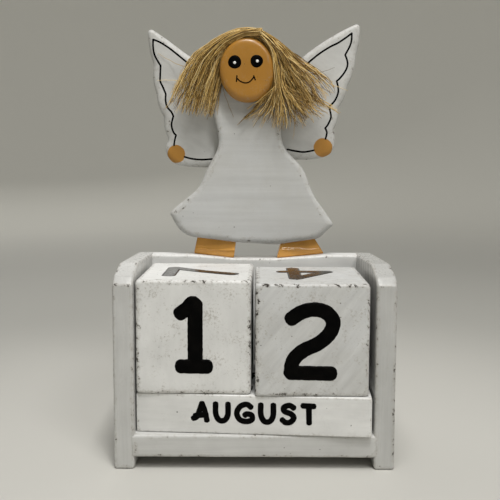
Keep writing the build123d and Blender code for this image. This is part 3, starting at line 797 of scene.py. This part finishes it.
# %% Numbers and months
NUMBER = {"height": 25.3 * MM, "stroke": 5.8 * MM, "stretch": 1.0, "gap": 0.0}
MONTH = {"height": 7.0 * MM, "stroke": 2.3 * MM, "stretch": 1.27, "gap": 0.5}
X, Y, Z = (Vector(v) for v in ((1, 0, 0), (0, 1, 0), (0, 0, 1)))
CUBE_FACES = {
    "left_day_cube": [("1", X, Z), ("7", Y, -X), ("8", -Y, Z), ("0", Y, Z), ("6", -X, Z), ("2", X, -Y)],
    "right_day_cube": [("2", X, Z), ("4", -X, -Y), ("3", -Y, Z), ("5", Y, Z), ("0", -X, Z), ("1", X, -Y)],
}
BAR_SIDES = [(X, Z), (X, Y), (X, -Z), (X, -Y)]
BAR_MONTHS = {
    "front_month_bar": ("AUGUST", "JULY", "JUNE", "MAY"),
    "middle_month_bar": ("APRIL", "MARCH", "FEBRUARY", "JANUARY"),
    "rear_month_bar": ("DECEMBER", "NOVEMBER", "OCTOBER", "SEPTEMBER"),
}
SHIFTED = {"1": (0.2, 1.3), "2": (-0.3, -0.15), "4": (1.5, -3.6), "7": (-1.8, -1.1), "AUGUST": (0.1, 0.9)}


def paint_face(node, text, right, up, style):
    """Lays a word or number on the face of a block whose own directions are right and up."""
    wood, size, place = blocks[node]
    outward = right.cross(up)
    reach = abs(outward.dot(Vector(size))) / 2
    turn = place.to_3x3()
    aside, above = SHIFTED.get(text, (0, 0))
    centre = place @ (outward * reach + right * aside * MM + up * above * MM)
    paint = glossy_black if outward.z > 0.5 and style is NUMBER else black_paint
    mesh = run_tree(stroke_tree, sign_strokes(text, **style), Material=paint, Tremble=0.16)
    return lay_on(mesh, wood, centre, turn @ right, turn @ up)


for node, faces in CUBE_FACES.items():
    numbers = joined(node + "_numbers", [paint_face(node, *face, NUMBER) for face in faces])
    settle(numbers, node.replace("_day", ""), "white_paint")
for node, words in BAR_MONTHS.items():
    lettering = [paint_face(node, word, *side, MONTH) for word, side in zip(words, BAR_SIDES)]
    settle(joined(node + "_lettering", lettering), node.replace("_month", ""), "white_paint")
print("numbers and months painted")

# %% [markdown]
# The wings carry a thin wavy line that follows the feathers a few millimetres inside the edge, and a
# short line along the hem of each sleeve. The hands are tan dabs on the same board, so they are
# painted in its material, where they run over the rounded edge.

# %% Lines on the wings
WING_LINES = [
    [(-30.8, 88.7), (-36.5, 93.3), (-40.3, 96.2), (-44.2, 98.6), (-47.4, 99.9)],
    [(-47.4, 99.9), (-47.4, 96.0), (-46.8, 92.9), (-45.2, 89.8), (-44.0, 87.9)],
    [(-44.0, 87.9), (-44.2, 83.8), (-44.2, 80.7), (-43.0, 78.0), (-41.7, 74.9)],
    [(-41.7, 74.9), (-41.8, 71.9), (-41.1, 68.9), (-39.2, 66.6), (-38.2, 64.6)],
    [(-38.2, 64.6), (-39.0, 61.6), (-39.0, 59.6), (-38.2, 57.1), (-37.0, 55.7)],
    [(-37.0, 55.7), (-37.6, 53.6), (-38.0, 50.9)],
    [(-33.1, 45.6), (-29.6, 44.7), (-25.0, 44.3), (-20.2, 44.6)],
    [(21.3, 86.0), (24.7, 89.3), (29.7, 93.4), (34.7, 96.6), (38.5, 98.5), (42.3, 101.0), (44.8, 102.9)],
    [(44.8, 102.9), (44.7, 99.4), (43.9, 96.8), (42.7, 94.5), (41.9, 93.0)],
    [(41.9, 93.0), (42.9, 90.3), (43.0, 88.0), (41.9, 85.3), (39.6, 82.3), (38.1, 81.0)],
    [(38.1, 81.0), (38.8, 78.1), (38.8, 75.4), (37.3, 71.9), (34.7, 69.1)],
    [(34.7, 69.1), (35.4, 66.3), (35.6, 64.0), (34.3, 60.9), (33.0, 59.2)],
    [(33.0, 59.2), (33.8, 57.1), (33.2, 54.1)],
    [(15.3, 49.2), (19.4, 48.4), (23.2, 48.0), (27.8, 48.8)],
]
LINE_WIDTH = 0.85 * MM


def flat_strokes(lines, width):
    """Strokes from points in millimetres, across and up from the tray's rim."""
    return [brushed([(x * MM, z * MM, 0) for x, z in line], width / 2) for line in lines]


def paint_board(board, lines, width, material, tremble=0.3):
    """Strokes on the front of a board of the figure."""
    face = Vector((0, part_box(board.name.removesuffix("_wood"))[0].y, RIM))
    mesh = run_tree(stroke_tree, flat_strokes(lines, width), Material=material, Tremble=tremble,
                    Flatness=0.06, Step=0.2 * MM)
    return lay_on(mesh, board, face, X, Z)


wing_strokes = paint_board(wings, WING_LINES, LINE_WIDTH, black_paint)
settle(joined("wing_lines", [wing_strokes]), "tray", "white_paint")

# %% Tan hands in the paint of the wings
HANDS = [((-37.0, 46.9), 4.35), ((32.1, 50.1), 4.55)]
tree = wing_white.node_tree
shader = tree.nodes["Principled BSDF"]
spot = add(tree, "ShaderNodeTexCoord").outputs["Object"]
ripple = calc(tree, "MULTIPLY", calc(tree, "SUBTRACT", cloud(tree, spot, 320), 0.5), 0.6 * MM)
mask = 0.0
for (x, z), reach in HANDS:
    middle = (x * MM, 0, RIM + z * MM)
    apart = add(tree, "ShaderNodeVectorMath", {0: spot, 1: middle}, operation="SUBTRACT").outputs[0]
    apart = add(tree, "ShaderNodeVectorMath", {0: apart, 1: (1, 0, 1)}, operation="MULTIPLY").outputs[0]
    apart = add(tree, "ShaderNodeVectorMath", {0: apart}, operation="LENGTH").outputs["Value"]
    hand = remap(tree, calc(tree, "ADD", apart, ripple), reach * MM, (reach - 0.25) * MM)
    mask = calc(tree, "MAXIMUM", mask, hand)
white = shader.inputs["Base Color"].links[0].from_socket
tan = blend(tree, remap(tree, cloud(tree, spot, 180), 0.35, 0.65), HAND_TAN, TAN)
tree.links.new(blend(tree, mask, white, tan), shader.inputs["Base Color"])
print("wings painted")

# %% [markdown]
# The face is a doll's: two round black eyes with a white glint, and a thin smile with a tick at each
# end. The eyes are dabs of thick paint, so they are low domes rather than flat discs.

# %% Face
EYES = [((-9.1, 87.8), 2.95), ((0.7, 88.2), 2.8)]
GLINTS = [((-9.1, 87.5), 0.8), ((1.0, 88.2), 0.8)]
SMILE = [
    [(-8.0, 80.6), (-6.7, 79.4), (-4.4, 78.6), (-2.5, 79.1), (-1.0, 80.6), (-0.5, 81.6)],
    [(-8.1, 81.8), (-8.3, 79.2)],
    [(-0.6, 81.8), (0.1, 79.9)],
]
SMILE_WIDTH = 0.6 * MM


def dab(middle, radius, board, material, height, sides=32, rows=5):
    """A low dome of paint on the front of a board."""
    verts, faces = [], []
    for row in range(rows + 1):
        share = 1 - row / rows
        rise = height * (1 - share**2) ** 0.5
        for i in range(sides):
            angle = 2 * pi * i / sides
            wobble = 1 + 0.02 * sin(3 * angle + middle[0])
            verts.append((share * wobble * radius * cos(angle), share * wobble * radius * sin(angle), rise))
    for row in range(rows):
        for i in range(sides):
            j = (i + 1) % sides
            faces.append([row * sides + k for k in (i, j)] + [(row + 1) * sides + k for k in (j, i)])
    faces.append(list(range(sides)))
    mesh = bpy.data.meshes.new("dab")
    mesh.from_pydata([Vector(v) * MM for v in verts], [], faces)
    mesh.shade_smooth()
    mesh.materials.append(material)
    shell = bmesh.new()
    shell.from_mesh(mesh)
    bmesh.ops.remove_doubles(shell, verts=shell.verts, dist=0.005 * MM)
    shell.to_mesh(mesh)
    shell.free()
    x, z = middle
    front = Vector((x * MM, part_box("head_disc")[0].y, RIM + z * MM))
    return lay_on(mesh, board, front, X, Z)


eyes = [dab(*eye, head, black_paint, 0.22) for eye in EYES]
smile = paint_board(head, SMILE, SMILE_WIDTH, black_paint, 0.2)
settle(joined("face_paint", [*eyes, smile]), "tray", "tan_paint")
glints = [dab(*glint, head, glint_paint, 0.36) for glint in GLINTS]
settle(joined("eye_glints", glints), "tray", "tan_paint")
print("face painted")

# %% [markdown]
# The hair is a hank of plant fibre glued over the head and parted on one side. It could be a solid
# with a hair texture, but its outline is all loose ends, so each fibre is modelled: a path from the
# parting round the head, between an inner and an outer guide, that wanders and ends where it likes.
# A second node tree sweeps a thin tapering tube along each path and gives each fibre its own tone.

# %% Fibre tree
fibre_tree, given, result = new_group(
    "fibre",
    "GeometryNodeTree",
    [
        ("Curve", "NodeSocketGeometry"),
        ("Points", "NodeSocketInt", 15),
        ("Taper", "NodeSocketFloat", 0.55),
        ("Frizz", "NodeSocketFloat", 2.0 * MM),
        ("Seed", "NodeSocketInt", 7),
        ("Material", "NodeSocketMaterial"),
    ],
    [("Mesh", "NodeSocketGeometry")],
)
smooth = add(fibre_tree, "GeometryNodeCurveSplineType", {0: given["Curve"]}, spline_type="CATMULL_ROM")
even = {0: smooth.outputs[0], "Count": given["Points"]}
even = add(fibre_tree, "GeometryNodeResampleCurve", even, mode="COUNT")
index = add(fibre_tree, "GeometryNodeInputIndex").outputs[0]
tone = add(fibre_tree, "FunctionNodeRandomValue", {"ID": index, "Seed": given["Seed"]}, data_type="FLOAT")
toned = add(fibre_tree, "GeometryNodeStoreNamedAttribute",
            {0: even.outputs[0], "Name": "tone", "Value": tone.outputs[1]}, domain="CURVE", data_type="FLOAT")
reach = add(fibre_tree, "GeometryNodeSplineParameter").outputs["Factor"]
spot = add(fibre_tree, "GeometryNodeInputPosition").outputs[0]
curl = add(fibre_tree, "ShaderNodeTexNoise", {"Vector": spot, "Scale": 300.0, "Detail": 1.5}).outputs["Color"]
curl = add(fibre_tree, "ShaderNodeVectorMath", {0: curl, 1: (0.5, 0.5, 0.5)}, operation="SUBTRACT").outputs[0]
amount = calc(fibre_tree, "MULTIPLY", given["Frizz"], reach)
curl = add(fibre_tree, "ShaderNodeVectorMath", {0: curl, 3: amount}, operation="SCALE").outputs[0]
bent = add(fibre_tree, "GeometryNodeSetPosition", {0: toned.outputs[0], "Offset": curl})
thin = calc(fibre_tree, "MULTIPLY", given["Taper"], calc(fibre_tree, "POWER", reach, 2.0))
thin = calc(fibre_tree, "SUBTRACT", 1.0, thin)
thick = calc(fibre_tree, "MULTIPLY", add(fibre_tree, "GeometryNodeInputRadius").outputs[0], thin)
section = add(fibre_tree, "GeometryNodeCurvePrimitiveCircle", {"Resolution": 4, "Radius": 1.0})
sweep_path(fibre_tree, bent, section, thick, given["Material"], result["Mesh"])
print("fibre tree has", len(fibre_tree.nodes), "nodes")

# %% [markdown]
# Plant fibre runs from dark brown to pale straw, fibre by fibre. The tree stores a tone for each fibre,
# a cloud varies it along the fibre, and a ramp turns it into a colour.

# %% Fibre material
fibre, tree, shader = new_material("plant_fibre")
tone = add(tree, "ShaderNodeAttribute", attribute_name="tone").outputs["Fac"]
spot = add(tree, "ShaderNodeTexCoord").outputs["Object"]
tone = calc(tree, "MULTIPLY_ADD", calc(tree, "SUBTRACT", cloud(tree, spot, 500), 0.5), 0.5, tone)
ramp = add(tree, "ShaderNodeValToRGB", {0: tone})
stops = [(0.0, (0.06, 0.031, 0.008, 1)), (0.3, (0.3, 0.172, 0.04, 1)), (0.65, (0.78, 0.53, 0.17, 1)),
         (1.0, (0.95, 0.75, 0.38, 1))]
ramp.color_ramp.elements[0].position, ramp.color_ramp.elements[0].color = stops[0]
ramp.color_ramp.elements[1].position, ramp.color_ramp.elements[1].color = stops[-1]
for position, colour in stops[1:-1]:
    ramp.color_ramp.elements.new(position).color = colour
tree.links.new(ramp.outputs[0], shader.inputs["Base Color"])
tree.links.new(remap(tree, cloud(tree, spot, 900), 0.3, 0.7, 0.35, 0.6), shader.inputs["Roughness"])

# %% [markdown]
# A lock is a pair of guides, given in millimetres across and up from the rim. A fibre takes a place
# between them, a depth, a length and a small wave of its own. A few strays are placed one by one, in
# millimetres across, up from the rim and back.

# %% Hair
HAIR_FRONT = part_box("right_hair_lock")[0].y
HAIR_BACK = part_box("right_hair_lock")[1].y
FIBRE_RADIUS = (0.09 * MM, 0.19 * MM)
STRAY_RADIUS = 0.13 * MM
LOCKS = {
    "left_hair_lock": [
        {
            "count": 460,
            "belly": 1.5,
            "settle": 0.5,
            "inner": [(3, 98.2), (-5.6, 98.4), (-12, 94), (-15, 88.4), (-17, 80.9), (-19.2, 72.9),
                      (-20.6, 64.4)],
            "outer": [(3.4, 103.3), (-7, 103.1), (-17, 98.8), (-26.5, 91.7), (-30.6, 84.4), (-33.8, 76.9),
                      (-36.8, 68.9)],
        },
    ],
    "right_hair_lock": [
        {
            "count": 270,
            "belly": 1.0,
            "settle": 0.3,
            "inner": [(0.5, 99.2), (5.4, 94.6), (8.6, 88.4), (12.4, 81.4), (17.5, 73.4), (23.5, 63.4)],
            "outer": [(1.6, 103.3), (8.4, 99.1), (15.5, 92.5), (22, 86.9), (28.5, 81.9), (35, 74.9)],
        },
        {
            "count": 370,
            "belly": 5.0,
            "settle": 0.0,
            "inner": [(1.4, 98.6), (5.8, 93.0), (7.6, 85.8), (7.8, 78.4), (3.2, 69.9), (-3.6, 62.3)],
            "outer": [(4, 100.9), (9.6, 95.5), (12.2, 87.5), (13.2, 78.9), (23, 72.9), (34.6, 65.9)],
        },
    ],
}
STRAYS = {
    "left_hair_lock": [
        [(-22, 86.9, 20), (-28, 86.5, 23), (-35, 87.7, 27), (-41, 91.1, 29.6), (-45, 93.5, 29.8)],
        [(-24, 80.9, 20), (-29, 79.9, 24), (-34, 80.5, 28), (-40, 81.3, 29.8), (-45.5, 81.1, 29.9)],
        [(-16, 82.9, 20.5), (-14.6, 76.9, 21.5), (-12.4, 70.4, 22), (-9.8, 63.7, 22.2)],
        [(-26, 74.9, 19), (-33, 73.9, 24), (-36, 69.9, 27), (-38.2, 65.3, 29.4)],
    ],
    "right_hair_lock": [
        [(10.4, 78.5, 15.6), (5, 73.5, 14.6), (0, 69.5, 14.4), (-3.4, 66.9, 14.8)],
        [(10.8, 77.9, 15.4), (4.6, 72.3, 14.4), (-0.6, 69.1, 14.3), (-3.8, 67.3, 14.6)],
        [(20, 82.9, 20), (29, 80.9, 24), (36.5, 79.1, 28), (43, 76.7, 29.8)],
        [(18, 82.9, 20), (25, 83.5, 24), (31, 84.9, 28), (37, 87.3, 29.6)],
        [(17, 72.9, 18), (18.4, 64.9, 20), (18.2, 58.9, 22), (17.6, 53.3, 24)],
        [(20, 84.9, 20), (26, 85.3, 24), (32, 82.5, 28), (36, 80.5, 29.7)],
        [(14, 72.9, 18), (12, 65.9, 20), (10.6, 60.9, 21.4), (10.2, 56.9, 22)],
    ],
}
draw = random.Random(11)


def guide_point(guide, reach):
    """A point part of the way along a guide, in whole stations."""
    at = reach * (len(guide) - 1)
    i = min(int(at), len(guide) - 2)
    return [a + (b - a) * (at - i) for a, b in zip(guide[i], guide[i + 1])]


def fibre_path(lock, stations=10):
    """One fibre's path and radii; about a third are wild, with more drift and sway."""
    wild = draw.random() < 0.34
    side = draw.random()
    drift = draw.gauss(0, 0.5 if wild else 0.3)
    root = draw.uniform(0, 0.06)
    length = draw.uniform(0.72, 1.06) if wild else draw.triangular(0.72, 1.06, 0.98)
    layer = draw.random()
    phase = draw.uniform(0, 2 * pi)
    sway = draw.uniform(1.2, 2.8) if wild else draw.uniform(0.4, 1.8)
    points = []
    for i in range(stations):
        reach = root + i / (stations - 1) * (length - root)
        x0, z0 = guide_point(lock["inner"], min(reach, 1))
        x1, z1 = guide_point(lock["outer"], min(reach, 1))
        place = min(1.1, max(-0.06, side + drift * reach))
        fall = lock["belly"] * reach**2 * sin(pi * min(1, max(0, place))) + 12 * max(0, reach - 1)
        x = x0 + (x1 - x0) * place + sway * reach * sin(phase + 6 * reach)
        z = z0 + (z1 - z0) * place - fall + 0.5 * sway * reach * cos(phase + 5 * reach)
        swell = 0.35 + 0.65 * sin(pi * min(1, max(0, place))) ** 0.6
        depth = min(1, max(0, layer + 0.25 * sin(phase + 4 * reach) * reach)) * (1 - lock["settle"] * reach)
        y = HAIR_BACK - 0.4 * MM - (HAIR_BACK - HAIR_FRONT - 0.6 * MM) * depth * swell
        points.append((x * MM, y, RIM + z * MM))
    return points, [draw.uniform(*FIBRE_RADIUS)] * stations


for node, locks in LOCKS.items():
    strands = [fibre_path(lock) for lock in locks for _ in range(lock["count"])]
    for stray in STRAYS[node]:
        points = [(x * MM, y * MM, RIM + z * MM) for x, z, y in stray]
        strands.append((points, [STRAY_RADIUS] * len(points)))
    mesh = run_tree(fibre_tree, strands, Material=fibre)
    settle(linked(node + "_fibres", mesh), "tray", "plant_fibre", node)
    print(node, len(strands), "fibres,", len(mesh.polygons), "faces")

# %% [markdown]
# The nails and dowels stay as they were packed, inside the wood. They still get what they are made of:
# drawn steel wire with fine lines along it, and pale dowel wood.


# %% Steel and dowel wood
def plain(name, first, second, grain, metallic, rough):
    material, tree, shader = new_material(name)
    shader.inputs["Metallic"].default_value = metallic
    spot = add(tree, "ShaderNodeTexCoord").outputs["Object"]
    mapping = add(tree, "ShaderNodeMapping", {"Vector": spot, "Scale": grain}).outputs[0]
    lines = cloud(tree, mapping, 1.0, 4.0)
    tree.links.new(blend(tree, lines, first, second), shader.inputs["Base Color"])
    tree.links.new(remap(tree, lines, 0.3, 0.7, rough, rough + 0.2), shader.inputs["Roughness"])
    return material


steel = plain("drawn_steel", (0.5, 0.5, 0.5, 1), (0.62, 0.62, 0.61, 1), (60, 2000, 2000), 1.0, 0.25)
dowel_wood = plain("dowel_wood", (0.55, 0.38, 0.2, 1), (0.68, 0.5, 0.3, 1), (900, 900, 50), 0.0, 0.55)
for node, material in (("shelf_brads", steel), ("back_panel_brads", steel), ("foot_dowels", dowel_wood)):
    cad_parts[node].data.materials.clear()
    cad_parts[node].data.materials.append(material)

# %% [markdown]
# The calendar stands on a pale table top in front of a pale grey sweep. A small lamp high in front
# draws the short shadows under the edges, one above lights the tops, and weaker ones at the right
# front and the rear fill the rest with an even sky. The sweep goes all the way round, so every view
# has the same quiet background. It casts no shadow on the object, so the sky can light it.

# %% Floor and sweep
FLOOR_RADIUS, SWEEP_RADIUS, WALL_HEIGHT = 0.9, 0.7, 1.6
NEAR_GREY = (0.57, 0.56, 0.525, 1)
FLOOR_GREY = (0.44, 0.435, 0.405, 1)
WALL_GREY = (0.8, 0.79, 0.735, 1)
profile = [(0.001, 0), (FLOOR_RADIUS, 0)]
for angle in np.linspace(0.1, pi / 2, 14):
    profile.append((FLOOR_RADIUS + SWEEP_RADIUS * sin(angle), SWEEP_RADIUS * (1 - cos(angle))))
profile.append((FLOOR_RADIUS + SWEEP_RADIUS, WALL_HEIGHT))
SIDES = 96
turns = [2 * pi * i / SIDES for i in range(SIDES)]
verts = [(r * cos(turn), r * sin(turn), h) for r, h in profile for turn in turns]
faces = []
for row in range(len(profile) - 1):
    for i in range(SIDES):
        j = (i + 1) % SIDES
        faces.append((row * SIDES + i, row * SIDES + j, (row + 1) * SIDES + j, (row + 1) * SIDES + i))
mesh = bpy.data.meshes.new("sweep")
mesh.from_pydata(verts, [], faces)
mesh.shade_smooth()
sweep = linked("sweep", mesh)
backdrop, tree, shader = new_material("sweep_grey")
shader.inputs["Roughness"].default_value = 0.7
spot = add(tree, "ShaderNodeTexCoord").outputs["Object"]
away = add(tree, "ShaderNodeVectorMath", {0: spot}, operation="LENGTH").outputs["Value"]
smooth = {"interpolation_type": "SMOOTHSTEP"}
behind = add(tree, "ShaderNodeMapRange", {0: away, 1: 0.1, 2: 0.3}, **smooth).outputs[0]
far = add(tree, "ShaderNodeMapRange", {0: away, 1: 0.5, 2: 1.2}, **smooth).outputs[0]
floor = blend(tree, behind, NEAR_GREY, FLOOR_GREY)
tree.links.new(blend(tree, far, floor, WALL_GREY), shader.inputs["Base Color"])
mesh.materials.append(backdrop)
sweep.visible_shadow = False

# %% Light
world = bpy.data.worlds.new("even_sky")
world.use_nodes = True
sky = world.node_tree.nodes["Background"]
sky.inputs["Color"].default_value = (1.0, 0.995, 0.98, 1)
sky.inputs["Strength"].default_value = 0.11
bpy.context.scene.world = world
LAMP_AIM = Vector((0, 0, 0.1))


def soft_lamp(name, place, size, power):
    """A square lamp at a place in metres, turned to the middle of the object."""
    lamp = bpy.data.lights.new(name, "AREA")
    lamp.shape = "SQUARE"
    lamp.size = size
    lamp.energy = power
    lamp.color = (1.0, 0.99, 0.965)
    holder = linked(name, lamp)
    holder.location = place
    holder.rotation_euler = (LAMP_AIM - Vector(place)).to_track_quat("-Z", "Y").to_euler()


soft_lamp("front_ceiling", (0.09, -0.43, 1.0), 0.12, 3.7)
soft_lamp("ceiling", (0.0, -0.22, 0.95), 0.25, 3.4)
soft_lamp("window", (0.37, -0.64, 0.77), 0.3, 2.4)
soft_lamp("rear_fill", (-0.35, 0.85, 0.6), 0.8, 1.5)

# %% [markdown]
# The camera looks straight at the front from about the height of the dress, turned down a little. Its
# place, lens and shift were fitted to the edges of the tray, the cubes and the bar.

# %% Camera
camera = bpy.data.cameras.new("camera")
camera.sensor_width = 36.0
camera.lens = 52.611
camera.shift_y = -0.06
holder = linked("camera", camera)
holder.location = Vector((-0.688, -315.117, 125.388)) * MM
holder.rotation_euler = [radians(angle) for angle in (84.841, -0.152, 0.257)]
bpy.context.scene.camera = holder
bpy.context.scene.view_settings.view_transform = "Standard"
